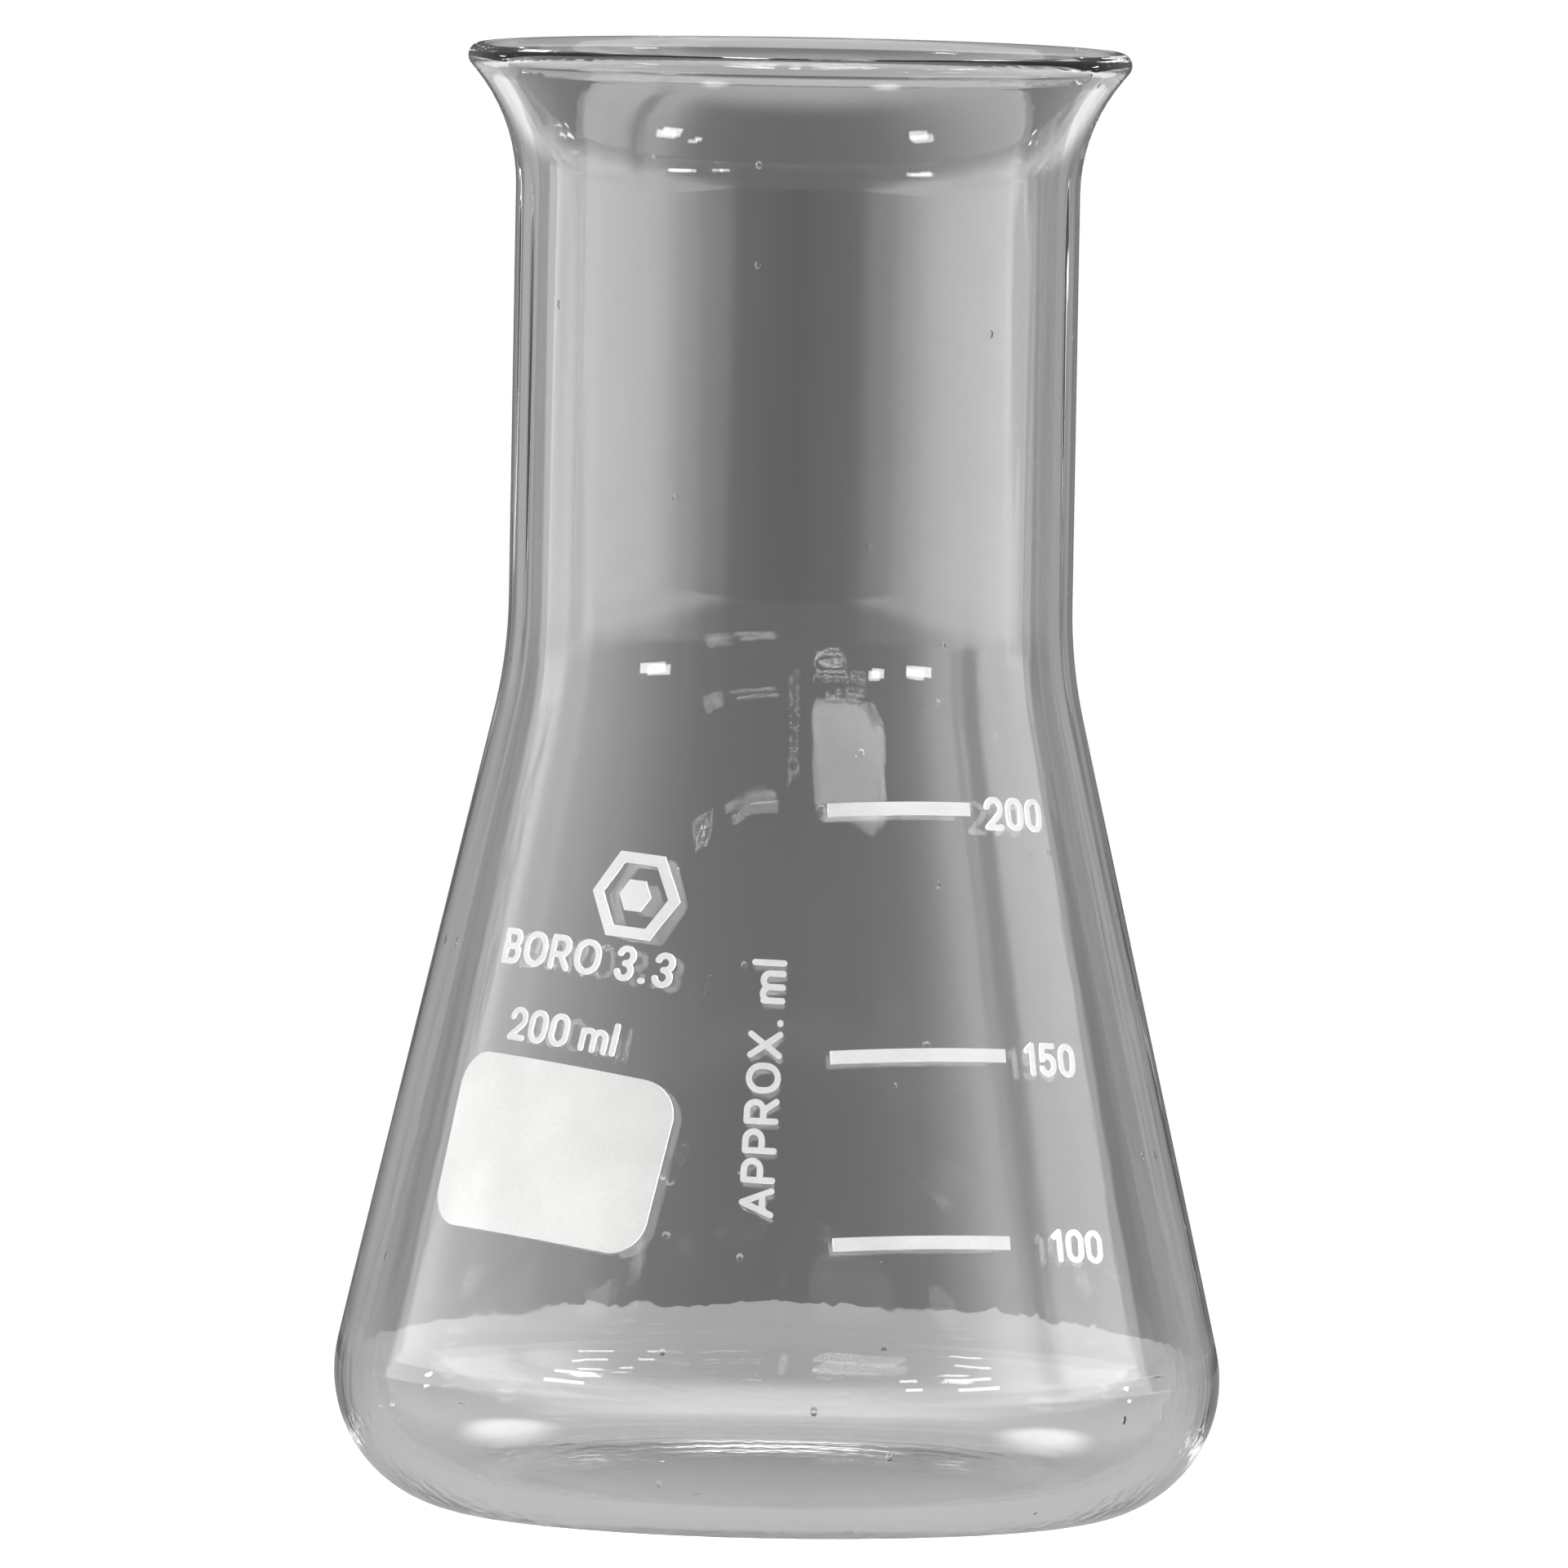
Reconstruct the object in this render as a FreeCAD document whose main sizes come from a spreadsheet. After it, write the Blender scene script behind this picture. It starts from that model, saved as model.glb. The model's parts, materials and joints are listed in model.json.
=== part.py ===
import FreeCAD, Part
import math
import os
import Sketcher

# Wide-necked conical (Erlenmeyer) flask of 200 ml: one blown borosilicate glass body with a flared,
# fire-polished rim and a thick, slightly raised bottom, and white enamel marks fused to its cone.
#
# Frame: millimetres, +Z up, origin at the centre of the ring that the flask stands on.
# The front is -Y. An azimuth is measured about +Z from the front, positive towards +X.

DRIVING_SIZES = (
    # alias, value, meaning
    ("height", 131.0, "ring that the flask stands on to the top of the rim"),
    ("body_radius", 39.6, "widest outside radius, low on the body"),
    ("neck_radius", 25.15, "outside radius of the straight neck"),
    ("rim_radius", 29.6, "outside radius of the flared rim"),
    ("wall", 2.0, "glass thickness in the cone, neck and flare"),
    ("cone_angle", 13.0, "lean of the cone's wall from the vertical, in degrees"),
    ("roll_radius", 12.4, "outside radius of the rounded edge between base and cone"),
    ("inner_roll_radius", 10.5, "the same edge on the inside"),
    ("shoulder_radius", 45.0, "outside radius of the bend between cone and neck"),
    ("flare_radius", 16.0, "outside radius of the bend between neck and flare"),
    ("flare_angle", 40.0, "lean of the flare from the vertical, in degrees"),
    ("lip_radius", 1.1, "radius of the melted edge of the rim"),
    ("base_thickness", 2.5, "glass thickness above the standing ring"),
    ("ring_inner_radius", 25.2, "inner edge of the flat ring that the flask stands on"),
    ("punt_rise", 1.3, "how far the underside rises towards its centre"),
    ("floor_rise", 1.0, "how far the inside floor rises towards its centre"),
    ("enamel", 0.12, "thickness of the enamel marks"),
    ("print_low", 17.0, "bottom of the straight cone that is printed on"),
    ("print_high", 70.0, "top of the straight cone that is printed on"),
    ("line_width", 1.2, "width of a graduation line"),
    ("line_start", 7.5, "azimuth at which every graduation line starts"),
    ("line_level_200", 64.8, "height of the 200 ml line"),
    ("line_level_150", 43.3, "height of the 150 ml line"),
    ("line_level_100", 27.0, "height of the 100 ml line"),
    ("line_length_200", 13.5, "length of the 200 ml line"),
    ("line_length_150", 16.7, "length of the 150 ml line"),
    ("line_length_100", 16.7, "length of the 100 ml line"),
    ("number_size", 3.0, "height of the graduation numbers"),
    ("number_azimuth", 46.0, "azimuth of the middle of every graduation number"),
    ("number_drop", 0.75, "how far a number stands below its line"),
    ("number_turn", -4.0, "turn of the numbers in their own plane"),
    ("patch_width", 23.9, "writing patch, along the cone"),
    ("patch_height", 15.7, "writing patch, up the cone"),
    ("patch_corner", 3.3, "writing patch, corner radius"),
    ("patch_azimuth", -37.3, "azimuth of the patch and of the nominal volume above it"),
    ("patch_level", 34.1, "height of the patch's middle"),
    ("patch_turn", -4.9, "turn of the patch in its own plane"),
    ("emblem_radius", 4.4, "corner radius of the six-sided emblem"),
    ("emblem_hole", 3.25, "corner radius of the hole in the emblem"),
    ("emblem_dot", 1.6, "corner radius of the dot in the emblem"),
    ("emblem_azimuth", -26.5, "azimuth of the emblem"),
    ("emblem_level", 56.7, "height of the emblem's middle"),
    ("words_turn", -4.5, "turn of the emblem and of the words round it"),
    ("legend_size", 3.1, "letter height of the upright legend"),
    ("legend_azimuth", -2.9, "azimuth of the upright legend"),
    ("legend_level", 40.3, "height of the legend's middle"),
    ("legend_turn", 88.5, "turn of the legend, which reads upwards"),
    ("volume_size", 3.0, "letter height of the nominal volume"),
    ("volume_level", 44.6, "height of the nominal volume"),
    ("glass_type_size", 3.2, "letter height of the glass type"),
    ("glass_type_azimuth", -35.5, "azimuth of the glass type"),
    ("glass_type_level", 51.2, "height of the glass type"),
)

VOLUMES = ("200", "150", "100")

# Distance of the cone's outside line from the origin, measured square to the line.
CONE_REACH = (
    "(Sizes.body_radius - Sizes.roll_radius) * cos(Sizes.cone_angle * 1 deg)"
    " + Sizes.roll_radius * (1 + sin(Sizes.cone_angle * 1 deg))"
)

# Reach of the flat marks' prisms below and above the plane that touches the cone at their middle.
PRISM_DEPTH = 5.0
PRISM_STANDOUT = 1.0

# Stroke font: letters are drawn by a round pen inside a box one unit high.
PEN = 0.175
LOW = PEN / 2
HIGH = 1 - PEN / 2
LETTER_GAP = 0.13
WORD_SPACE = 0.32


def line(x0, y0, x1, y1):
    return ("line", x0, y0, x1, y1)


def arc(x, y, radius, start, end):
    return ("arc", x, y, radius, start, end)


# Each letter: its width and its strokes. Arcs run counter-clockwise, in degrees.
FONT = {
    "0": (0.70, (
        arc(0.35, 0.65, 0.265, 0, 180),
        arc(0.35, 0.35, 0.265, 180, 360),
        line(LOW, 0.35, LOW, 0.65),
        line(0.615, 0.35, 0.615, 0.65),
    )),
    "1": (0.44, (
        line(0.30, LOW, 0.30, HIGH),
        line(0.30, HIGH, 0.10, 0.76),
    )),
    "2": (0.70, (
        arc(0.345, 0.655, 0.26, -40, 170),
        line(0.544, 0.488, LOW, LOW),
        line(LOW, LOW, 0.61, LOW),
    )),
    "3": (0.68, (
        arc(0.34, 0.708, 0.205, -90, 165),
        arc(0.34, 0.295, 0.2075, -165, 90),
    )),
    "5": (0.70, (
        line(0.15, HIGH, 0.58, HIGH),
        line(0.15, HIGH, 0.13, 0.50),
        arc(0.34, 0.345, 0.26, -155, 143),
    )),
    "A": (0.86, (
        line(LOW, LOW, 0.43, HIGH),
        line(0.43, HIGH, 0.86 - LOW, LOW),
        line(0.20, 0.34, 0.66, 0.34),
    )),
    "B": (0.74, (
        line(LOW, LOW, LOW, HIGH),
        line(LOW, LOW, 0.42, LOW),
        line(LOW, 0.50, 0.42, 0.50),
        line(LOW, HIGH, 0.40, HIGH),
        arc(0.40, 0.706, 0.206, -90, 90),
        arc(0.43, 0.294, 0.206, -90, 90),
    )),
    "O": (0.88, (
        arc(0.44, 0.56, 0.3525, 0, 180),
        arc(0.44, 0.44, 0.3525, 180, 360),
        line(LOW, 0.44, LOW, 0.56),
        line(0.7925, 0.44, 0.7925, 0.56),
    )),
    "P": (0.72, (
        line(LOW, LOW, LOW, HIGH),
        line(LOW, HIGH, 0.40, HIGH),
        line(LOW, 0.45, 0.40, 0.45),
        arc(0.40, 0.68125, 0.23125, -90, 90),
    )),
    "R": (0.76, (
        line(LOW, LOW, LOW, HIGH),
        line(LOW, HIGH, 0.40, HIGH),
        line(LOW, 0.45, 0.40, 0.45),
        arc(0.40, 0.68125, 0.23125, -90, 90),
        line(0.38, 0.45, 0.66, LOW),
    )),
    "X": (0.78, (
        line(LOW, LOW, 0.78 - LOW, HIGH),
        line(LOW, HIGH, 0.78 - LOW, LOW),
    )),
    "l": (0.175, (
        line(LOW, LOW, LOW, HIGH),
    )),
    "m": (0.96, (
        line(LOW, LOW, LOW, 0.62),
        line(0.48, LOW, 0.48, 0.45),
        line(0.8725, LOW, 0.8725, 0.45),
        arc(0.28375, 0.45, 0.19625, 0, 180),
        arc(0.67625, 0.45, 0.19625, 0, 180),
    )),
    ".": (0.22, (
        line(0.10, 0.10, 0.12, 0.10),
    )),
}


def make_sizes(doc):
    """The sheet of driving dimensions: meaning in column A, value in column B."""
    sheet = doc.addObject("Spreadsheet::Sheet", "Sizes")
    for row, (alias, value, meaning) in enumerate(DRIVING_SIZES, start=1):
        sheet.set(f"A{row}", meaning)
        sheet.set(f"B{row}", str(value))
        sheet.setAlias(f"B{row}", alias)
    doc.recompute()
    return sheet


def origin_plane(body, role):
    return next(item for item in body.Origin.OriginFeatures if item.Role == role)


def attached_sketch(body, name, role):
    sketch = body.newObject("Sketcher::SketchObject", name)
    sketch.AttachmentSupport = [(origin_plane(body, role), "")]
    sketch.MapMode = "FlatFace"
    return sketch


def point(x, y):
    return FreeCAD.Vector(x, y, 0)


def arc_piece(centre, radius, start_degrees, end_degrees):
    circle = Part.Circle(centre, FreeCAD.Vector(0, 0, 1), radius)
    return Part.ArcOfCircle(circle, math.radians(start_degrees), math.radians(end_degrees))


def line_piece(start, end):
    return Part.LineSegment(start, end)


def polar(centre, radius, degrees):
    angle = math.radians(degrees)
    return centre + point(radius * math.cos(angle), radius * math.sin(angle))


def cone_radius(sizes, height):
    """Outside radius of the straight part of the cone at a height."""
    lean = math.radians(sizes.cone_angle)
    return (sizes.evalExpression(CONE_REACH) - height * math.sin(lean)) / math.cos(lean)


def glass_outline(sizes):
    """The half section of the glass, as (name, piece) in order round the loop.

    Radius runs along the sketch's X and height along its Y. The loop starts under the centre,
    goes out along the underside, up the outside, over the lip and back down the inside.
    """
    lean = sizes.cone_angle
    tilt = sizes.flare_angle
    slope = math.tan(math.radians(lean))

    roll = point(sizes.body_radius - sizes.roll_radius, sizes.roll_radius)
    cone_foot = polar(roll, sizes.roll_radius, lean)

    bend_axis = sizes.neck_radius + sizes.shoulder_radius
    cone_top_radius = bend_axis - sizes.shoulder_radius * math.cos(math.radians(lean))
    cone_top_height = cone_foot.y + (cone_foot.x - cone_top_radius) / slope
    shoulder_height = cone_top_height + sizes.shoulder_radius * math.sin(math.radians(lean))
    shoulder = point(bend_axis, shoulder_height)

    lip = point(sizes.rim_radius - sizes.lip_radius, sizes.height - sizes.lip_radius)
    flare_end = polar(lip, sizes.lip_radius, -tilt)
    flare_axis = sizes.neck_radius + sizes.flare_radius
    flare_start_radius = flare_axis - sizes.flare_radius * math.cos(math.radians(tilt))
    straight_rise = (flare_end.x - flare_start_radius) / math.tan(math.radians(tilt))
    flare_height = flare_end.y - straight_rise - sizes.flare_radius * math.sin(math.radians(tilt))
    flare = point(flare_axis, flare_height)

    inner_reach = sizes.evalExpression(CONE_REACH) - sizes.wall - sizes.inner_roll_radius
    inner_roll_height = sizes.base_thickness + sizes.inner_roll_radius
    sine = math.sin(math.radians(lean))
    cosine = math.cos(math.radians(lean))
    inner_roll = point((inner_reach - inner_roll_height * sine) / cosine, inner_roll_height)

    floor_drop = inner_roll.y - sizes.base_thickness - sizes.floor_rise
    floor_radius = (inner_roll.x ** 2 + floor_drop ** 2 - sizes.inner_roll_radius ** 2) / (
        2 * (sizes.inner_roll_radius - floor_drop))
    floor = point(0, sizes.base_thickness + sizes.floor_rise - floor_radius)
    floor_end = math.degrees(math.atan2(inner_roll.y - floor.y, inner_roll.x))

    punt_radius = (sizes.ring_inner_radius ** 2 + sizes.punt_rise ** 2) / (2 * sizes.punt_rise)
    punt = point(0, sizes.punt_rise - punt_radius)
    punt_end = math.degrees(math.asin(-punt.y / punt_radius))

    inner_shoulder_radius = sizes.shoulder_radius + sizes.wall
    inner_flare_radius = sizes.flare_radius + sizes.wall
    ring_inner = point(sizes.ring_inner_radius, 0)

    return (
        ("punt", arc_piece(punt, punt_radius, punt_end, 90)),
        ("ring", line_piece(ring_inner, point(roll.x, 0))),
        ("roll", arc_piece(roll, sizes.roll_radius, -90, lean)),
        ("cone", line_piece(cone_foot, polar(shoulder, sizes.shoulder_radius, 180 + lean))),
        ("shoulder", arc_piece(shoulder, sizes.shoulder_radius, 180, 180 + lean)),
        ("neck", line_piece(point(sizes.neck_radius, shoulder.y), point(sizes.neck_radius, flare.y))),
        ("flare", arc_piece(flare, sizes.flare_radius, 180 - tilt, 180)),
        ("flare_edge", line_piece(polar(flare, sizes.flare_radius, 180 - tilt), flare_end)),
        ("lip", arc_piece(lip, sizes.lip_radius, -tilt, 180 - tilt)),
        ("inner_flare_edge", line_piece(
            polar(lip, sizes.lip_radius, 180 - tilt), polar(flare, inner_flare_radius, 180 - tilt))),
        ("inner_flare", arc_piece(flare, inner_flare_radius, 180 - tilt, 180)),
        ("inner_neck", line_piece(
            polar(flare, inner_flare_radius, 180), polar(shoulder, inner_shoulder_radius, 180))),
        ("inner_shoulder", arc_piece(shoulder, inner_shoulder_radius, 180, 180 + lean)),
        ("inner_cone", line_piece(
            polar(shoulder, inner_shoulder_radius, 180 + lean),
            polar(inner_roll, sizes.inner_roll_radius, lean))),
        ("inner_roll", arc_piece(inner_roll, sizes.inner_roll_radius, floor_end - 180, lean)),
        ("floor", arc_piece(floor, floor_radius, floor_end, 90)),
        ("axis", line_piece(point(0, floor.y + floor_radius), point(0, sizes.punt_rise))),
    )


def constrain_outline(sketch, index):
    """Joins, aligns and dimensions the outline, so that the sheet drives all of it."""
    start, end, centre = 1, 2, 3
    origin, vertical_axis, horizontal_axis = -1, -2, -1

    # Pieces that flow into each other: (piece, its point, next piece, its point).
    smooth_joins = (
        ("ring", end, "roll", start),
        ("roll", end, "cone", start),
        ("cone", end, "shoulder", end),
        ("shoulder", start, "neck", start),
        ("neck", end, "flare", end),
        ("flare", start, "flare_edge", start),
        ("flare_edge", end, "lip", start),
        ("lip", end, "inner_flare_edge", start),
        ("inner_flare_edge", end, "inner_flare", start),
        ("inner_flare", end, "inner_neck", start),
        ("inner_neck", end, "inner_shoulder", start),
        ("inner_shoulder", end, "inner_cone", start),
        ("inner_cone", end, "inner_roll", end),
        ("inner_roll", start, "floor", start),
    )
    for first, first_point, second, second_point in smooth_joins:
        sketch.addConstraint(Sketcher.Constraint(
            "Tangent", index[first], first_point, index[second], second_point))

    shared_points = (
        ("punt", start, "ring", start),
        ("punt", end, "axis", end),
        ("floor", end, "axis", start),
        ("shoulder", centre, "inner_shoulder", centre),
        ("flare", centre, "inner_flare", centre),
    )
    for first, first_point, second, second_point in shared_points:
        sketch.addConstraint(Sketcher.Constraint(
            "Coincident", index[first], first_point, index[second], second_point))

    on_axis = (("punt", end), ("punt", centre), ("floor", centre))
    for piece, piece_point in on_axis:
        sketch.addConstraint(Sketcher.Constraint(
            "PointOnObject", index[piece], piece_point, vertical_axis))
    sketch.addConstraint(Sketcher.Constraint("PointOnObject", index["ring"], start, horizontal_axis))
    sketch.addConstraint(Sketcher.Constraint("Horizontal", index["ring"]))
    for piece in ("axis", "neck", "inner_neck"):
        sketch.addConstraint(Sketcher.Constraint("Vertical", index[piece]))
    sketch.addConstraint(Sketcher.Constraint("Parallel", index["cone"], index["inner_cone"]))

    # Dimensions: kind, piece, its point, expression. The starting value comes from the drawn outline.
    dimensions = (
        ("DistanceY", "punt", end, "Sizes.punt_rise"),
        ("DistanceX", "ring", start, "Sizes.ring_inner_radius"),
        ("DistanceX", "roll", centre, "Sizes.body_radius - Sizes.roll_radius"),
        ("DistanceX", "neck", start, "Sizes.neck_radius"),
        ("DistanceX", "lip", centre, "Sizes.rim_radius - Sizes.lip_radius"),
        ("DistanceY", "lip", centre, "Sizes.height - Sizes.lip_radius"),
        ("DistanceX", "inner_neck", start, "Sizes.neck_radius - Sizes.wall"),
        ("DistanceY", "inner_roll", centre, "Sizes.base_thickness + Sizes.inner_roll_radius"),
        ("DistanceY", "floor", end, "Sizes.base_thickness + Sizes.floor_rise"),
    )
    for kind, piece, piece_point, expression in dimensions:
        place = sketch.getPoint(index[piece], piece_point)
        value = place.x if kind == "DistanceX" else place.y
        number = sketch.addConstraint(Sketcher.Constraint(
            kind, origin, start, index[piece], piece_point, value))
        sketch.setExpression(f"Constraints[{number}]", expression)

    radii = (
        ("roll", "Sizes.roll_radius"),
        ("shoulder", "Sizes.shoulder_radius"),
        ("flare", "Sizes.flare_radius"),
        ("lip", "Sizes.lip_radius"),
        ("inner_roll", "Sizes.inner_roll_radius"),
    )
    for piece, expression in radii:
        value = sketch.Geometry[index[piece]].Radius
        number = sketch.addConstraint(Sketcher.Constraint("Radius", index[piece], value))
        sketch.setExpression(f"Constraints[{number}]", expression)

    # Leans are measured from the vertical axis to the piece.
    leans = (
        ("cone", "Sizes.cone_angle * 1 deg", 1),
        ("flare_edge", "-Sizes.flare_angle * 1 deg", -1),
    )
    for piece, expression, sign in leans:
        drawn = sketch.Geometry[index[piece]]
        rise = drawn.EndPoint - drawn.StartPoint
        value = sign * math.atan2(abs(rise.x), rise.y)
        number = sketch.addConstraint(Sketcher.Constraint(
            "Angle", vertical_axis, index[piece], value))
        sketch.setExpression(f"Constraints[{number}]", expression)


def make_glass(doc, sizes):
    """The blown glass body: its half section turned once about the axis."""
    body = doc.addObject("PartDesign::Body", "Glass")
    body.Label = "flask_body"
    sketch = attached_sketch(body, "HalfSection", "XZ_Plane")
    index = {}
    for name, piece in glass_outline(sizes):
        index[name] = sketch.addGeometry(piece, False)
    constrain_outline(sketch, index)
    turn = body.newObject("PartDesign::Revolution", "Turned")
    turn.Profile = sketch
    turn.ReferenceAxis = (sketch, ["V_Axis"])
    turn.Angle = 360
    sketch.Visibility = False
    doc.recompute()
    if not sketch.FullyConstrained:
        raise RuntimeError("the glass section is not fully constrained")
    return body


def make_enamel_skin(doc):
    """A thin cone over the straight part of the glass, which every mark is cut from."""
    cones = []
    for name, thickness in (("EnamelOutside", "Sizes.enamel"), ("GlassOutside", "0")):
        cone = doc.addObject("Part::Cone", name)
        for end, level in (("Radius1", "Sizes.print_low"), ("Radius2", "Sizes.print_high")):
            radius = (
                f"({CONE_REACH} + {thickness} - {level} * sin(Sizes.cone_angle * 1 deg))"
                " / cos(Sizes.cone_angle * 1 deg)"
            )
            cone.setExpression(end, f"{radius} * 1 mm")
        cone.setExpression("Height", "(Sizes.print_high - Sizes.print_low) * 1 mm")
        cone.setExpression("Placement.Base.z", "Sizes.print_low * 1 mm")
        cones.append(cone)
    skin = doc.addObject("Part::Cut", "EnamelSkin")
    skin.Base, skin.Tool = cones
    doc.recompute()
    return skin


def mark_placement(sizes, azimuth, height, turn=0.0):
    """Frame of a flat mark: X along the cone, Y up the cone, Z out of the glass.

    The frame touches the cone at an azimuth and a height and is turned in its own plane, then
    moved inwards so that a prism standing on it passes right through the enamel.
    """
    radius = cone_radius(sizes, height)
    facing = FreeCAD.Rotation(FreeCAD.Vector(0, 0, 1), azimuth)
    upright = FreeCAD.Rotation(FreeCAD.Vector(1, 0, 0), 90 - sizes.cone_angle)
    in_plane = FreeCAD.Rotation(FreeCAD.Vector(0, 0, 1), turn)
    rotation = facing.multiply(upright).multiply(in_plane)
    touch = facing.multVec(FreeCAD.Vector(0, -radius, height))
    inwards = rotation.multVec(FreeCAD.Vector(0, 0, -PRISM_DEPTH))
    return FreeCAD.Placement(touch + inwards, rotation)


def cut_from_skin(doc, label, prism, skin):
    """The mark itself: what a prism and the enamel skin share."""
    mark = doc.addObject("Part::Common", f"Mark_{label}")
    mark.Label = label
    mark.Base = prism
    mark.Tool = skin
    return mark


def make_line(doc, sizes, skin, volume):
    """A graduation line, which is a straight bar of artwork laid on the cone."""
    bar = doc.addObject("Part::Box", f"Bar_{volume}")
    bar.setExpression("Length", f"Sizes.line_length_{volume} * 1 mm")
    bar.setExpression("Width", "Sizes.line_width * 1 mm")
    bar.Height = PRISM_DEPTH + PRISM_STANDOUT
    length = getattr(sizes, f"line_length_{volume}")
    height = getattr(sizes, f"line_level_{volume}")
    half_angle = math.degrees(length / 2 / cone_radius(sizes, height))
    frame = mark_placement(sizes, sizes.line_start + half_angle, height)
    corner = frame.multVec(FreeCAD.Vector(-length / 2, -sizes.line_width / 2, 0))
    bar.Placement = FreeCAD.Placement(corner, frame.Rotation)
    return cut_from_skin(doc, f"graduation_line_{volume}", bar, skin)


def make_patch(doc, sizes, skin):
    """The writing patch: a rounded rectangle, laid on the cone a little askew."""
    body = doc.addObject("PartDesign::Body", "PatchBlock")
    block = body.newObject("PartDesign::AdditiveBox", "PatchBox")
    block.setExpression("Length", "Sizes.patch_width * 1 mm")
    block.setExpression("Width", "Sizes.patch_height * 1 mm")
    block.Height = PRISM_DEPTH + PRISM_STANDOUT
    block.setExpression("Placement.Base.x", "-Sizes.patch_width / 2 * 1 mm")
    block.setExpression("Placement.Base.y", "-Sizes.patch_height / 2 * 1 mm")
    doc.recompute()
    upright = [
        f"Edge{number}" for number, edge in enumerate(block.Shape.Edges, start=1)
        if abs(edge.tangentAt(edge.FirstParameter).z) > 0.99
    ]
    corners = body.newObject("PartDesign::Fillet", "PatchCorners")
    corners.Base = (block, upright)
    corners.setExpression("Radius", "Sizes.patch_corner * 1 mm")
    body.Placement = mark_placement(sizes, sizes.patch_azimuth, sizes.patch_level, sizes.patch_turn)
    return cut_from_skin(doc, "writing_patch", body, skin)


def make_emblem(doc, sizes, skin):
    """A plain six-sided ring round a six-sided dot."""
    frame = mark_placement(sizes, sizes.emblem_azimuth, sizes.emblem_level, sizes.words_turn)
    hexagons = []
    for alias in ("emblem_radius", "emblem_hole", "emblem_dot"):
        hexagon = doc.addObject("Part::Prism", f"Hexagon_{alias}")
        hexagon.Polygon = 6
        hexagon.setExpression("Circumradius", f"Sizes.{alias} * 1 mm")
        hexagon.Height = PRISM_DEPTH + PRISM_STANDOUT
        hexagon.Placement = frame
        hexagons.append(hexagon)
    outside, hole, dot = hexagons
    ring = doc.addObject("Part::Cut", "EmblemRing")
    ring.Base = outside
    ring.Tool = hole
    both = doc.addObject("Part::Fuse", "EmblemPrism")
    both.Base = ring
    both.Tool = dot
    return cut_from_skin(doc, "emblem", both, skin)


def stroke_faces(stroke, scale):
    """Flat faces that a round pen fills along one stroke."""
    half_pen = PEN / 2 * scale
    up = FreeCAD.Vector(0, 0, 1)
    if stroke[0] == "line":
        ends = [point(stroke[1], stroke[2]) * scale, point(stroke[3], stroke[4]) * scale]
        along = (ends[1] - ends[0]).normalize()
        side = up.cross(along) * half_pen
        corners = [ends[0] - side, ends[1] - side, ends[1] + side, ends[0] + side]
        band = Part.Face(Part.makePolygon(corners + corners[:1]))
    else:
        centre = point(stroke[1], stroke[2]) * scale
        radius = stroke[3] * scale
        start, end = stroke[4], stroke[5]
        ends = [polar(centre, radius, start), polar(centre, radius, end)]
        outer = arc_piece(centre, radius + half_pen, start, end).toShape()
        inner = arc_piece(centre, radius - half_pen, start, end).toShape()
        caps = [
            Part.makeLine(polar(centre, radius - half_pen, angle), polar(centre, radius + half_pen, angle))
            for angle in (start, end)
        ]
        band = Part.Face(Part.Wire(Part.__sortEdges__([outer, inner] + caps)))
    tips = [Part.Face(Part.Wire(Part.Circle(tip, up, half_pen).toShape())) for tip in ends]
    return [band] + tips


def lettering(text, size):
    """The text as flat faces, centred on the origin, one fused shape per letter."""
    advances = [WORD_SPACE if character == " " else FONT[character][0] + LETTER_GAP for character in text]
    pen_x = (LETTER_GAP - sum(advances)) / 2
    letters = []
    for character, advance in zip(text, advances):
        if character != " ":
            faces = [face for stroke in FONT[character][1] for face in stroke_faces(stroke, size)]
            letter = faces[0].fuse(faces[1:]).removeSplitter()
            letter.translate(point(pen_x * size, -size / 2))
            letters.append(letter)
        pen_x += advance
    return Part.Compound(letters)


def make_lettering(doc, skin, label, text, size, placement):
    """Text cut from the enamel skin, from flat letters raised into prisms."""
    flat = doc.addObject("Part::Feature", f"Letters_{label}")
    flat.Shape = lettering(text, size)
    flat.Placement = placement
    raised = doc.addObject("Part::Extrusion", f"Raised_{label}")
    raised.Base = flat
    raised.DirMode = "Normal"
    raised.LengthFwd = PRISM_DEPTH + PRISM_STANDOUT
    raised.Solid = True
    return cut_from_skin(doc, label, raised, skin)


def make_number(doc, sizes, skin, volume):
    """A graduation's number, to the right of its line and slightly lower."""
    height = getattr(sizes, f"line_level_{volume}") - sizes.number_drop
    return make_lettering(
        doc, skin, f"graduation_number_{volume}", volume, sizes.number_size,
        mark_placement(sizes, sizes.number_azimuth, height, sizes.number_turn))


def make_legend(doc, sizes, skin):
    """The upright legend which says that the graduations are approximate."""
    return make_lettering(
        doc, skin, "approximate_volume_legend", "APPROX. ml", sizes.legend_size,
        mark_placement(sizes, sizes.legend_azimuth, sizes.legend_level, sizes.legend_turn))


def make_nominal_volume(doc, sizes, skin):
    """The nominal volume, just above the writing patch."""
    return make_lettering(
        doc, skin, "nominal_volume", "200 ml", sizes.volume_size,
        mark_placement(sizes, sizes.patch_azimuth, sizes.volume_level, sizes.words_turn))


def make_glass_type(doc, sizes, skin):
    """The type of glass, above the nominal volume."""
    return make_lettering(
        doc, skin, "glass_type_mark", "BORO 3.3", sizes.glass_type_size,
        mark_placement(sizes, sizes.glass_type_azimuth, sizes.glass_type_level, sizes.words_turn))


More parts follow.
